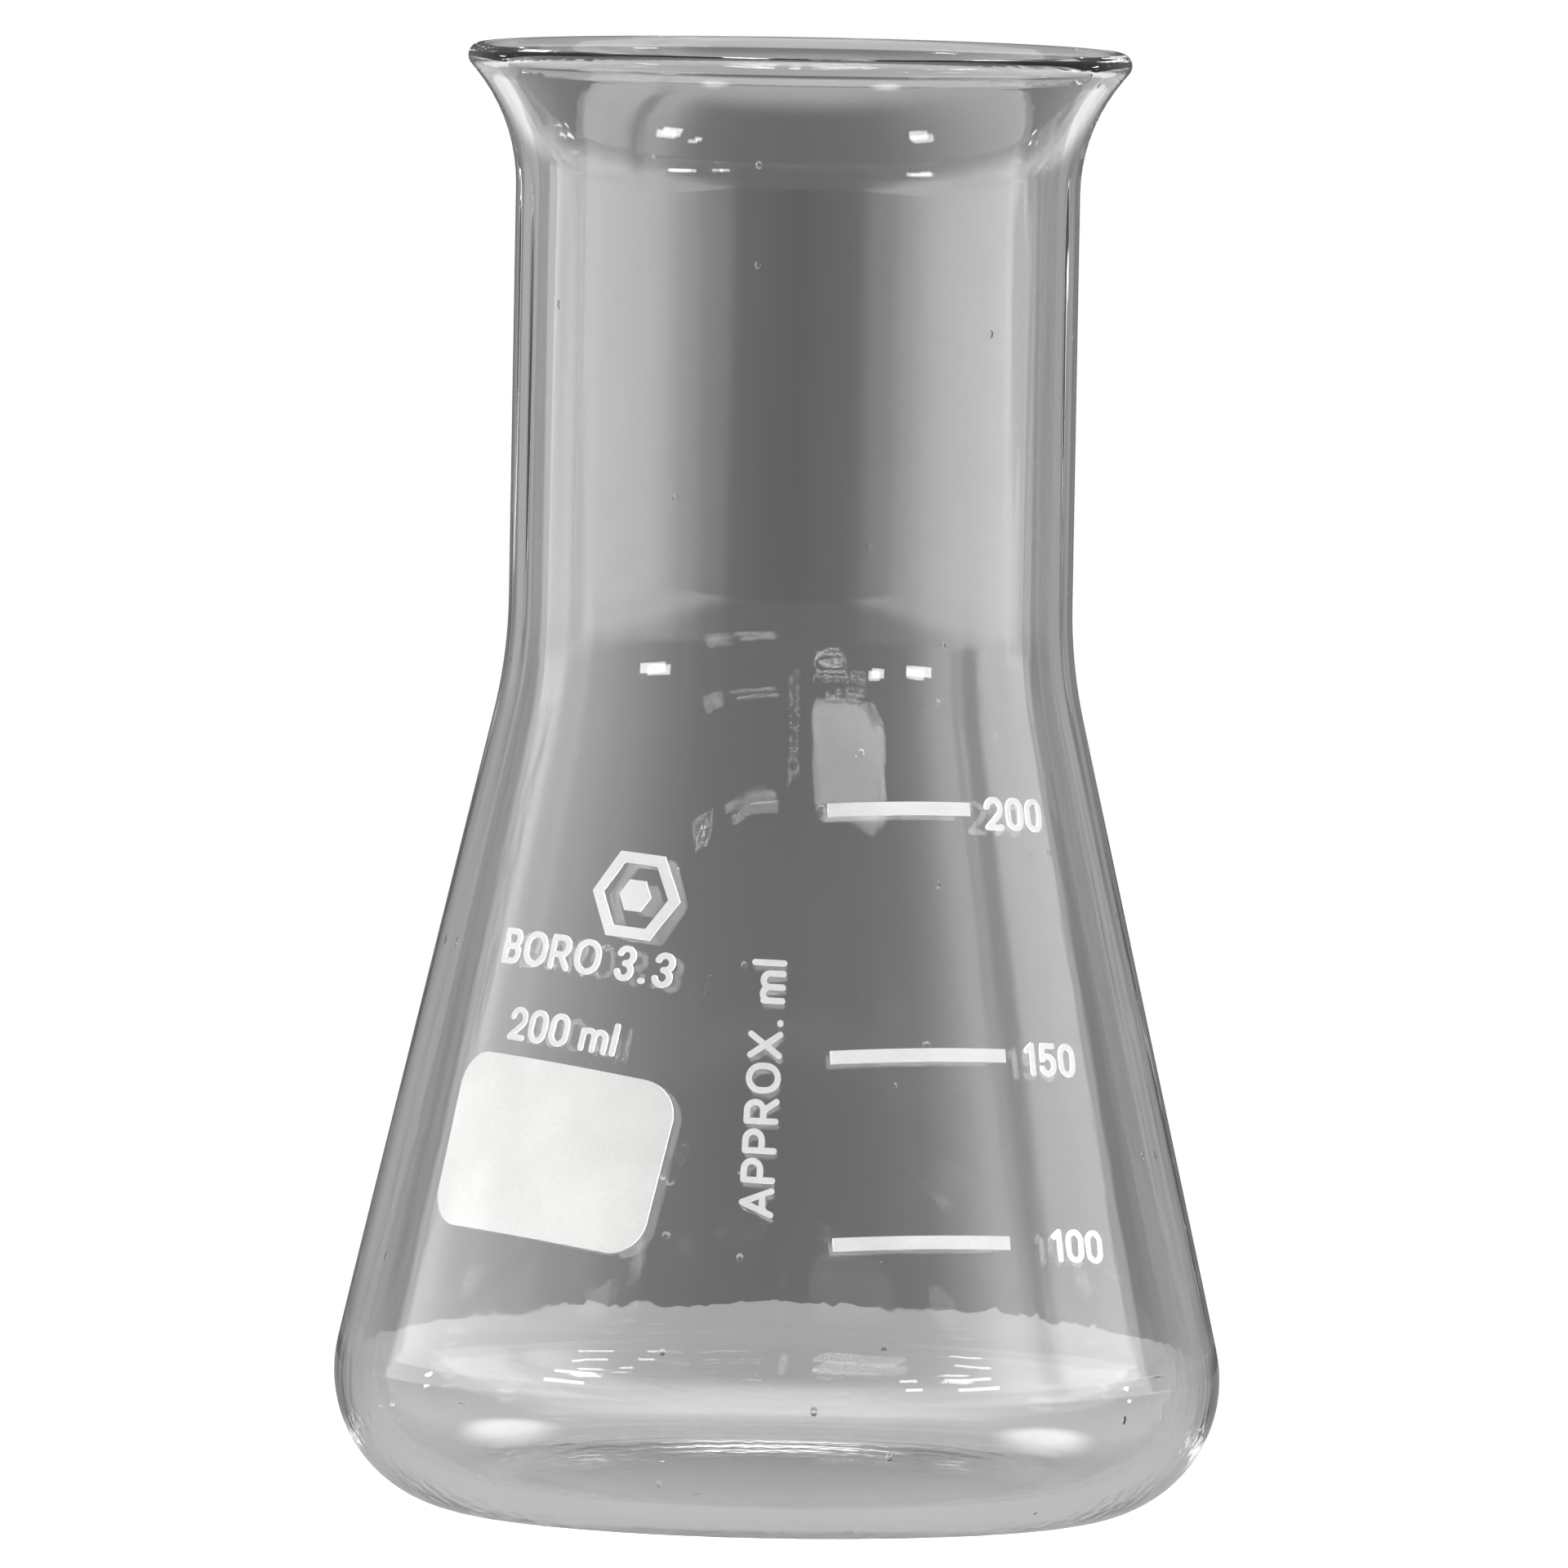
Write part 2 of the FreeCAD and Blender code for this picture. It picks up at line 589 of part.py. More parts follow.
def check_document(doc, pieces):
    """Stops if any object failed to build or a piece has no valid solid."""
    for item in doc.Objects:
        if "Invalid" in item.State or "Error" in item.State:
            raise RuntimeError(f"{item.Name} failed: {item.State}")
    for piece in pieces:
        if piece.Shape.isNull() or not piece.Shape.isValid() or not piece.Shape.Solids:
            raise RuntimeError(f"{piece.Label} has no valid solid")


def main():
    doc = FreeCAD.newDocument("conical_flask")
    sizes = make_sizes(doc)
    glass = make_glass(doc, sizes)
    skin = make_enamel_skin(doc)
    pieces = [glass, make_patch(doc, sizes, skin), make_emblem(doc, sizes, skin)]
    for volume in VOLUMES:
        pieces.append(make_line(doc, sizes, skin, volume))
        pieces.append(make_number(doc, sizes, skin, volume))
    pieces.append(make_legend(doc, sizes, skin))
    pieces.append(make_nominal_volume(doc, sizes, skin))
    pieces.append(make_glass_type(doc, sizes, skin))
    doc.recompute()
    check_document(doc, pieces)
    os.makedirs("parts", exist_ok=True)
    for piece in pieces:
        piece.Shape.exportStep(f"parts/{piece.Label}.step")
        box = piece.Shape.BoundBox
        print(f"{piece.Label}: {len(piece.Shape.Solids)} solid(s), {piece.Shape.Volume:.2f} mm3,"
              f" radius to {box.XMax:.2f}, z {box.ZMin:.2f} to {box.ZMax:.2f}")


main()
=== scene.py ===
import json
import math

import bpy
from mathutils import Matrix, Vector, noise


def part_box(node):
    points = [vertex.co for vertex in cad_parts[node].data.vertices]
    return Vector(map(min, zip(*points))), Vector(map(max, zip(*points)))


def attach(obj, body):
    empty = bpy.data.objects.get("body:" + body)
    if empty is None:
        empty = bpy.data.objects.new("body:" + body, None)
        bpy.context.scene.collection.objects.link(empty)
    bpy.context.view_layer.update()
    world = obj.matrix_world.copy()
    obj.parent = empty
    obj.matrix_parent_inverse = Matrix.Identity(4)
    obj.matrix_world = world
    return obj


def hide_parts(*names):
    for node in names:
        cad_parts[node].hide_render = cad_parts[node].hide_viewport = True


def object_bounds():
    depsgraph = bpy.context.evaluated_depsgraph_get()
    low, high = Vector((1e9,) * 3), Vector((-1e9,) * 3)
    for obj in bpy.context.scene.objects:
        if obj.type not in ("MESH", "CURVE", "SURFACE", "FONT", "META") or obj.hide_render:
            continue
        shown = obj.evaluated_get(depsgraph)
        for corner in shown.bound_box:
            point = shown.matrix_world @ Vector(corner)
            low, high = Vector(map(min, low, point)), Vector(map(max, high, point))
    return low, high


# A wide-necked conical flask of clear borosilicate glass with fused white enamel marks.
# The glass is turned here as a fine smooth mesh that stands for the CAD glass, and the enamel
# marks are the CAD nodes themselves with an enamel material. Everything is in metres, +Z up,
# with the front of the flask towards -Y.

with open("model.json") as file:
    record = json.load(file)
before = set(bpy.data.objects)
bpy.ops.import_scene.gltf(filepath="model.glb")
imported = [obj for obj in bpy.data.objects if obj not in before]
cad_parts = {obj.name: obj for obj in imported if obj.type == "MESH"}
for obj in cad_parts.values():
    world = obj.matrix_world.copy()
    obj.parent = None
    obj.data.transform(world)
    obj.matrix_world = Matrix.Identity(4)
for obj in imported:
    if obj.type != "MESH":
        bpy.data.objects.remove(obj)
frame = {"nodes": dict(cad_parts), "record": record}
cad_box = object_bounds()

MM = 0.001
GLASS_NODE = "flask_body"

# Shape of the glass that the frame's boxes and mounts don't give, as in the design.
WALL = 2.0 * MM
CONE_LEAN = math.radians(13.0)
ROLL_RADIUS = 12.4 * MM
INNER_ROLL_RADIUS = 10.5 * MM
SHOULDER_RADIUS = 45.0 * MM
FLARE_RADIUS = 16.0 * MM
FLARE_LEAN = math.radians(40.0)
LIP_RADIUS = 1.1 * MM
RIM_RADIUS = 29.6 * MM
BASE_THICKNESS = 2.5 * MM
RING_INNER_RADIUS = 25.2 * MM
PUNT_RISE = 1.3 * MM
FLOOR_RISE = 1.0 * MM

# The enamel is fused a little way into the glass, so on the cone the glass comes up round it.
# The glass rises between the first two of these heights and comes back between the last two.
ENAMEL_SINK = 0.02 * MM
SINK_HEIGHTS = (15 * MM, 22 * MM, 72 * MM, 85 * MM)

# Unevenness of drawn and blown glass: how deep it is on each side of the wall, how often it changes
# round the wall and in a metre of height, and the heights between which it comes in and goes out.
OUTER_RIPPLE = 0.014 * MM
INNER_RIPPLE = 0.045 * MM
RIPPLE_TURNS = (11.0, 4.0)
RIPPLE_RISE = 14.0
RIPPLE_HEIGHTS = (14 * MM, 24 * MM, 112 * MM, 126 * MM)

# Fineness of the turned mesh.
SEGMENTS = 384
ARC_STEP = math.radians(4.5)
CAP_STEP = math.radians(0.4)
LINE_STEP = 1.6 * MM


# ---------------------------------------------------------------- glass outline

def mount_radius(name):
    """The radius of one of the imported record's mounts, in metres."""
    found = next(m for m in frame["record"]["mounts"] if m["name"] == name)
    return found["dims"]["r_mm"] * MM


def on_circle(centre, radius, angle):
    """A point of a circle, in radius and height. Angle 0 is straight out from the axis."""
    return Vector((centre[0] + radius * math.cos(angle), centre[1] + radius * math.sin(angle)))


def arc(centre, radius, start, end, step=ARC_STEP):
    """Points of an arc, in radius and height, from one angle to another."""
    count = max(2, math.ceil(abs(end - start) / step))
    return [on_circle(centre, radius, start + (end - start) * i / count) for i in range(count + 1)]


def run(start, end, step=LINE_STEP):
    """Points of a straight run between two points, without its ends."""
    count = max(1, math.ceil((end - start).length / step))
    return [start.lerp(end, i / count) for i in range(1, count)]


def glass_outline():
    """The half section of the glass: along the underside, up the outside and down the inside.

    Also gives the number of the first point of the inside.
    """
    low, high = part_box(GLASS_NODE)
    height = high.z
    body_radius = min(high.x, -low.x, high.y, -low.y)
    neck_radius = mount_radius("neck_clamp_zone")
    half_turn = math.pi

    roll = Vector((body_radius - ROLL_RADIUS, ROLL_RADIUS))
    reach = roll.x * math.cos(CONE_LEAN) + roll.y * math.sin(CONE_LEAN) + ROLL_RADIUS
    axis_distance = neck_radius + SHOULDER_RADIUS
    shoulder_height = (
        reach + SHOULDER_RADIUS - axis_distance * math.cos(CONE_LEAN)) / math.sin(CONE_LEAN)
    shoulder = Vector((axis_distance, shoulder_height))

    lip = Vector((RIM_RADIUS - LIP_RADIUS, height - LIP_RADIUS))
    flare_end = on_circle(lip, LIP_RADIUS, -FLARE_LEAN)
    flare_start_radius = neck_radius + FLARE_RADIUS * (1 - math.cos(FLARE_LEAN))
    flare_height = (
        flare_end.y - (flare_end.x - flare_start_radius) / math.tan(FLARE_LEAN)
        - FLARE_RADIUS * math.sin(FLARE_LEAN))
    flare = Vector((neck_radius + FLARE_RADIUS, flare_height))

    inner_roll_height = BASE_THICKNESS + INNER_ROLL_RADIUS
    inner_reach = reach - WALL - INNER_ROLL_RADIUS
    inner_roll = Vector((
        (inner_reach - inner_roll_height * math.sin(CONE_LEAN)) / math.cos(CONE_LEAN),
        inner_roll_height))
    floor_drop = INNER_ROLL_RADIUS - FLOOR_RISE
    floor_radius = (inner_roll.x ** 2 + floor_drop ** 2 - INNER_ROLL_RADIUS ** 2) / (2 * FLOOR_RISE)
    floor = Vector((0, BASE_THICKNESS + FLOOR_RISE - floor_radius))
    floor_edge = math.atan2(inner_roll.y - floor.y, inner_roll.x)

    punt_radius = (RING_INNER_RADIUS ** 2 + PUNT_RISE ** 2) / (2 * PUNT_RISE)
    punt = Vector((0, PUNT_RISE - punt_radius))
    punt_edge = math.acos(RING_INNER_RADIUS / punt_radius)

    outline = []
    outline += arc(punt, punt_radius, half_turn / 2, punt_edge, CAP_STEP)
    outline += arc(roll, ROLL_RADIUS, -half_turn / 2, CONE_LEAN)
    outline += run(outline[-1], on_circle(shoulder, SHOULDER_RADIUS, half_turn + CONE_LEAN))
    outline += arc(shoulder, SHOULDER_RADIUS, half_turn + CONE_LEAN, half_turn, ARC_STEP / 3)
    outline += run(outline[-1], on_circle(flare, FLARE_RADIUS, half_turn))
    outline += arc(flare, FLARE_RADIUS, half_turn, half_turn - FLARE_LEAN)
    outline += arc(lip, LIP_RADIUS, -FLARE_LEAN, half_turn - FLARE_LEAN, 3 * ARC_STEP)
    inside_from = len(outline)
    outline += arc(flare, FLARE_RADIUS + WALL, half_turn - FLARE_LEAN, half_turn)
    outline += run(outline[-1], on_circle(shoulder, SHOULDER_RADIUS + WALL, half_turn))
    outline += arc(shoulder, SHOULDER_RADIUS + WALL, half_turn, half_turn + CONE_LEAN, ARC_STEP / 3)
    outline += run(outline[-1], on_circle(inner_roll, INNER_ROLL_RADIUS, CONE_LEAN))
    outline += arc(inner_roll, INNER_ROLL_RADIUS, CONE_LEAN, floor_edge - half_turn)
    outline += arc(floor, floor_radius, floor_edge, half_turn / 2, CAP_STEP)[1:]
    return outline, inside_from


def plateau(height, start, full, last, end):
    """0 outside start to end, 1 from full to last, and smooth in between."""
    rise = min(max((height - start) / (full - start), 0), 1)
    fall = min(max((end - height) / (end - last), 0), 1)
    return rise * rise * (3 - 2 * rise) * fall * fall * (3 - 2 * fall)


def ripple(angle, height):
    """The unevenness of the glass at a place on its wall, between about -1 and 1."""
    total = 0
    for turns in RIPPLE_TURNS:
        place = Vector((turns * math.cos(angle), turns * math.sin(angle), RIPPLE_RISE * height))
        total += noise.noise(place)
    return total


def turned_mesh(name, outline, inside_from):
    """A closed mesh: the outline, which starts and ends on the axis, turned once about +Z.

    The wall is made slightly uneven, and the cone is raised round the enamel. The rings of the
    outline from inside_from on belong to the inner surface.
    """
    rings = outline[1:-1]
    points = [(0, 0, outline[0].y), (0, 0, outline[-1].y)]
    for number, (radius, height) in enumerate(rings):
        inside = number >= inside_from
        raised = 0 if inside else ENAMEL_SINK * plateau(height, *SINK_HEIGHTS)
        depth = (INNER_RIPPLE if inside else OUTER_RIPPLE) * plateau(height, *RIPPLE_HEIGHTS)
        for step in range(SEGMENTS):
            angle = 2 * math.pi * step / SEGMENTS
            reach = radius + raised + (depth * ripple(angle, height) if depth else 0)
            points.append((reach * math.cos(angle), reach * math.sin(angle), height))

    def corner(ring, step):
        return 2 + ring * SEGMENTS + step % SEGMENTS

    faces = []
    for step in range(SEGMENTS):
        faces.append((0, corner(0, step + 1), corner(0, step)))
        for ring in range(len(rings) - 1):
            faces.append((
                corner(ring, step), corner(ring, step + 1),
                corner(ring + 1, step + 1), corner(ring + 1, step)))
        last = len(rings) - 1
        faces.append((corner(last, step), corner(last, step + 1), 1))
    mesh = bpy.data.meshes.new(name)
    mesh.from_pydata(points, [], faces)
    mesh.shade_smooth()
    return mesh


# ---------------------------------------------------------------- node helpers

# A Mix node's colour sockets share their names with its number sockets, so they go by place.
MIX_FIRST = 6
MIX_SECOND = 7
MIX_RESULT = 2


def math_node(tree, operation, first, second=None):
    """A Math node's result. Its inputs are sockets or plain numbers."""
    node = tree.nodes.new("ShaderNodeMath")
    node.operation = operation
    for number, value in enumerate((first, second)):
        if value is None:
            continue
        if isinstance(value, (int, float)):
            node.inputs[number].default_value = value
        else:
            tree.links.new(value, node.inputs[number])
    return node.outputs[0]


def smooth_step(tree, source, low, high, at_low=0.0, at_high=1.0):
    """Goes smoothly from at_low to at_high while source goes from low to high."""
    node = tree.nodes.new("ShaderNodeMapRange")
    node.interpolation_type = "SMOOTHSTEP"
    node.inputs["From Min"].default_value = low
    node.inputs["From Max"].default_value = high
    node.inputs["To Min"].default_value = at_low
    node.inputs["To Max"].default_value = at_high
    tree.links.new(source, node.inputs["Value"])
    return node.outputs[0]


def ramp_node(tree, source, stops):
    """A grey Color Ramp through (place, level) stops, read at source."""
    node = tree.nodes.new("ShaderNodeValToRGB")
    elements = node.color_ramp.elements
    # A new ramp has two stops already.
    for place, level in stops[2:]:
        elements.new(place)
    for element, (place, level) in zip(elements, sorted(stops)):
        element.position = place
        element.color = grey(level)
    tree.links.new(source, node.inputs[0])
    return node.outputs["Color"]


def grey(level):
    """A plain grey colour."""
    return level, level, level, 1


def grey_mix(tree, share, first, second):
    """Between two greys, by share. The second may be a plain colour."""
    node = tree.nodes.new("ShaderNodeMix")
    node.data_type = "RGBA"
    tree.links.new(share, node.inputs["Factor"])
    tree.links.new(first, node.inputs[MIX_FIRST])
    if isinstance(second, tuple):
        node.inputs[MIX_SECOND].default_value = second
    else:
        tree.links.new(second, node.inputs[MIX_SECOND])
    return node.outputs[MIX_RESULT]


def grey_limit(tree, colour, limit):
    """The darker of two greys."""
    node = tree.nodes.new("ShaderNodeMix")
    node.data_type = "RGBA"
    node.blend_type = "DARKEN"
    node.inputs["Factor"].default_value = 1
    tree.links.new(colour, node.inputs[MIX_FIRST])
    tree.links.new(limit, node.inputs[MIX_SECOND])
    return node.outputs[MIX_RESULT]


def node_material(name):
    """A material with an empty node tree, its tree and its output."""
    material = bpy.data.materials.new(name)
    material.use_nodes = True
    tree = material.node_tree
    tree.nodes.clear()
    return material, tree, tree.nodes.new("ShaderNodeOutputMaterial")


def place_node(tree, scale):
    """Object coordinates, in metres, times scale, so that textures keep their size."""
    place = tree.nodes.new("ShaderNodeTexCoord")
    mapping = tree.nodes.new("ShaderNodeMapping")
    mapping.inputs["Scale"].default_value = scale
    tree.links.new(place.outputs["Object"], mapping.inputs["Vector"])
    return mapping.outputs["Vector"]


def noise_node(tree, place, scale, detail):
    """Smooth noise between 0 and 1."""
    node = tree.nodes.new("ShaderNodeTexNoise")
    node.inputs["Scale"].default_value = scale
    node.inputs["Detail"].default_value = detail
    tree.links.new(place, node.inputs["Vector"])
    return node.outputs["Fac"]


def bump_node(tree, height, depth, normal=None):
    """A bump as deep as depth, in metres, where height is 1."""
    node = tree.nodes.new("ShaderNodeBump")
    node.inputs["Distance"].default_value = depth
    node.inputs["Strength"].default_value = 1
    tree.links.new(height, node.inputs["Height"])
    if normal:
        tree.links.new(normal, node.inputs["Normal"])
    return node.outputs["Normal"]


def tinted(tree, level, tint):
    """A colour from one level: the shares of it that red, green and blue get."""
    colour = tree.nodes.new("ShaderNodeCombineColor")
    for channel, share in zip(("Red", "Green", "Blue"), tint):
        tree.links.new(math_node(tree, "MULTIPLY", level, share), colour.inputs[channel])
    return colour.outputs[0]


# ---------------------------------------------------------------- materials

# Clear glass. It lets a little less through where it is smeared, and is a little rougher there.
GLASS_IOR = 1.473
GLASS_TINT = (0.995, 1.0, 0.998)
CLEAN_LEVEL = 0.985
SMEARED_LEVEL = 0.955
SMEAR_ROUGHNESS = 0.045
SPECK_ROUGHNESS = 0.08

# Its relief: specks this high, and draw lines a share of that. Scales are cells in a metre, so the
# draw lines are long and thin, and the smears about 17 mm wide. A speck cell whose random value is
# above SPECK_CHOICE has a speck. The ranges are the noise levels between which a smear comes in.
GLASS_RELIEF = 0.08 * MM
DRAW_LINE_SHARE = 0.10
DRAW_LINE_SCALE = (700, 700, 12)
SMEAR_SCALE = (60, 60, 45)
SPECK_CELLS = 300
SPECK_STRETCH = (1, 1, 0.8)
SPECK_EDGE = (0.04, 0.11)
SPECK_CHOICE = 0.93
SMEAR_TINT_RANGE = (0.35, 0.75)
SMEAR_ROUGH_RANGE = (0.52, 0.78)

# White enamel: its cloudy tone, the finer grain on top, its orange-peel gloss, and the depths of
# the relief. Each range is the noise levels that the two tones or roughnesses after it belong to.
ENAMEL_IOR = 1.5
ENAMEL_TINT = (1.0, 1.0, 0.985)
CLOUD_SCALE = 140
CLOUD_RANGE = (0.25, 0.75)
CLOUD_TONES = (0.70, 0.80)
GRAIN_SCALE = 3800
GRAIN_RANGE = (0.2, 0.8)
GRAIN_TONES = (0.97, 1.03)
PEEL_SCALE = 1300
PEEL_RANGE = (0.3, 0.7)
PEEL_ROUGHNESS = (0.34, 0.5)
PEEL_DEPTH = 0.01 * MM
GRAIN_DEPTH = 0.003 * MM


def speck_heights(tree):
    """Small raised specks on a few spots of the glass."""
    cells = tree.nodes.new("ShaderNodeTexVoronoi")
    cells.inputs["Scale"].default_value = SPECK_CELLS
    tree.links.new(place_node(tree, SPECK_STRETCH), cells.inputs["Vector"])
    speck = smooth_step(tree, cells.outputs["Distance"], *SPECK_EDGE, 1.0, 0.0)
    split = tree.nodes.new("ShaderNodeSeparateXYZ")
    tree.links.new(cells.outputs["Color"], split.inputs[0])
    chosen = math_node(tree, "GREATER_THAN", split.outputs["X"], SPECK_CHOICE)
    return math_node(tree, "MULTIPLY", speck, chosen)


def glass_material():
    """Clear glass with the faint vertical draw lines, smears and specks of one in use."""
    material, tree, output = node_material("clear_borosilicate")
    shader = tree.nodes.new("ShaderNodeBsdfPrincipled")
    shader.inputs["IOR"].default_value = GLASS_IOR
    shader.inputs["Transmission Weight"].default_value = 1.0

    streaks = noise_node(tree, place_node(tree, DRAW_LINE_SCALE), 1.0, detail=1.0)
    smears = noise_node(tree, place_node(tree, SMEAR_SCALE), 1.0, detail=2.0)
    specks = speck_heights(tree)

    clear = smooth_step(tree, smears, *SMEAR_TINT_RANGE, CLEAN_LEVEL, SMEARED_LEVEL)
    tree.links.new(tinted(tree, clear, GLASS_TINT), shader.inputs["Base Color"])

    smeared = smooth_step(tree, smears, *SMEAR_ROUGH_RANGE, 0.0, SMEAR_ROUGHNESS)
    specked = math_node(tree, "MULTIPLY", specks, SPECK_ROUGHNESS)
    rough = math_node(tree, "ADD", smeared, specked)
    tree.links.new(rough, shader.inputs["Roughness"])

    lines = math_node(tree, "MULTIPLY", streaks, DRAW_LINE_SHARE)
    height = math_node(tree, "ADD", lines, specks)
    tree.links.new(bump_node(tree, height, GLASS_RELIEF), shader.inputs["Normal"])
    tree.links.new(shader.outputs[0], output.inputs["Surface"])
    return material


def enamel_material():
    """White glass enamel: dense, slightly grainy, with an orange-peel gloss."""
    material, tree, output = node_material("fused_white_enamel")
    shader = tree.nodes.new("ShaderNodeBsdfPrincipled")
    shader.inputs["IOR"].default_value = ENAMEL_IOR

    place = place_node(tree, (1, 1, 1))
    cloud = noise_node(tree, place, CLOUD_SCALE, detail=4.0)
    grain = noise_node(tree, place, GRAIN_SCALE, detail=2.0)
    peel = noise_node(tree, place, PEEL_SCALE, detail=1.0)

    tone = smooth_step(tree, cloud, *CLOUD_RANGE, *CLOUD_TONES)
    grains = smooth_step(tree, grain, *GRAIN_RANGE, *GRAIN_TONES)
    grained = math_node(tree, "MULTIPLY", tone, grains)
    tree.links.new(tinted(tree, grained, ENAMEL_TINT), shader.inputs["Base Color"])

    gloss = smooth_step(tree, peel, *PEEL_RANGE, *PEEL_ROUGHNESS)
    tree.links.new(gloss, shader.inputs["Roughness"])
    peeled = bump_node(tree, peel, PEEL_DEPTH)
    pitted = bump_node(tree, grain, GRAIN_DEPTH, normal=peeled)
    tree.links.new(pitted, shader.inputs["Normal"])
    tree.links.new(shader.outputs[0], output.inputs["Surface"])
    return material


# ---------------------------------------------------------------- pieces

def make_glass():
    """The turned glass, in place of the CAD glass."""
    body = bpy.data.objects.new("glass_body", turned_mesh("glass_body", *glass_outline()))
    bpy.context.scene.collection.objects.link(body)
    body.data.materials.append(glass_material())
    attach(body, "root")
    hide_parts(GLASS_NODE)


def finish_enamel():
    """Gives each printed mark of the CAD its enamel."""
    material = enamel_material()
    for name, node in frame["nodes"].items():
        if name != GLASS_NODE:
            node.data.materials.clear()
            node.data.materials.append(material)


# ---------------------------------------------------------------- stage

# Radiance of the room by the angle from the front, in degrees: the camera stands at 0 and the
# space behind the flask is at 180. Each side of the room has its own light below and above the
# horizon: bright screens low down, and above them a window on each side, the right one with a bar.
ROOM_PEAK = 3.6
LOW_LEFT = (
    (0, 0.09), (14, 0.16), (25, 0.30), (35, 0.75), (45, 1.35), (55, 2.25), (68, 2.5), (92, 2.6),
    (122, 2.3), (124, 0.40), (150, 0.42), (168, 0.22), (174, 0.13), (180, 0.13))
HIGH_LEFT = (
    (0, 0.12), (20, 0.22), (35, 0.45), (45, 0.75), (55, 1.25), (68, 1.85), (80, 2.3), (92, 2.7),
    (120, 2.7), (123, 0.36), (150, 0.38), (168, 0.22), (174, 0.14), (180, 0.14))
LOW_RIGHT = (
    (0, 0.09), (25, 0.28), (35, 0.75), (45, 1.05), (55, 1.7), (68, 2.7), (92, 2.75), (108, 2.3),
    (114, 2.0), (116, 0.32), (150, 0.36), (168, 0.20), (174, 0.13), (180, 0.13))
HIGH_RIGHT = (
    (0, 0.12), (25, 0.25), (45, 0.62), (55, 1.5), (66, 3.1), (74, 3.1), (77, 1.6), (81, 1.6),
    (85, 3.5), (106, 3.2), (113, 2.6), (115, 0.36), (150, 0.38), (168, 0.20), (174, 0.14),
    (180, 0.14))

# Rise of the horizon, over which the low light gives way to the high light, the drop over which
# the far floor comes in, and the slope over which all gives way to the pale ceiling or floor.
# All are sines of the angle. The last two pairs are each followed by their light.
HORIZON = (0.026, 0.052)
FAR_FLOOR = (0.14, 0.22)
FAR_FLOOR_LIGHT = 0.9
STEEP = (0.72, 1.0)
STEEP_LIGHT = 3.8

# What shows straight through the glass is held down to CLEAR_LIMIT where the ray is level or
# rises, and to TABLE_LIGHT, which is also the light of the table's middle, where it goes down.
CLEAR_LIMIT = 0.26
TABLE_LIGHT = 0.41

# Matt surfaces get this much of their light evenly from all round, at this level.
EVEN_SHARE = 0.75
EVEN_LIGHT = 3.2
# Share of the room's light that falls on matt surfaces, and on those seen mirrored in the glass.
MATT_SHARE = 0.44
MIRRORED_SHARE = 26.0


def room_level(tree, clear):
    """The room's light for the direction of the ray, as a share of ROOM_PEAK.

    clear is 1 for a ray that has only passed straight through glass.
    """
    place = tree.nodes.new("ShaderNodeTexCoord")
    split = tree.nodes.new("ShaderNodeSeparateXYZ")
    tree.links.new(place.outputs["Generated"], split.inputs[0])
    aside = math_node(tree, "ABSOLUTE", split.outputs["X"])
    ahead = math_node(tree, "MULTIPLY", split.outputs["Y"], -1)
    turn = math_node(tree, "DIVIDE", math_node(tree, "ARCTAN2", aside, ahead), math.pi)
    above = smooth_step(tree, split.outputs["Z"], *HORIZON)
    on_right = math_node(tree, "GREATER_THAN", split.outputs["X"], 0)
    low_left, high_left, low_right, high_right = [
        ramp_node(tree, turn, [(angle / 180, level / ROOM_PEAK) for angle, level in stops])
        for stops in (LOW_LEFT, HIGH_LEFT, LOW_RIGHT, HIGH_RIGHT)]
    left = grey_mix(tree, above, low_left, high_left)
    right = grey_mix(tree, above, low_right, high_right)
    walls = grey_mix(tree, on_right, left, right)
    drop = smooth_step(tree, math_node(tree, "MULTIPLY", split.outputs["Z"], -1), *FAR_FLOOR)
    lower = grey_mix(tree, drop, walls, grey(FAR_FLOOR_LIGHT / ROOM_PEAK))
    steep = smooth_step(tree, math_node(tree, "ABSOLUTE", split.outputs["Z"]), *STEEP)
    full = grey_mix(tree, steep, lower, grey(STEEP_LIGHT / ROOM_PEAK))
    limit = smooth_step(tree, drop, 0, 1, CLEAR_LIMIT / ROOM_PEAK, TABLE_LIGHT / ROOM_PEAK)
    return grey_mix(tree, clear, full, grey_limit(tree, full, limit))


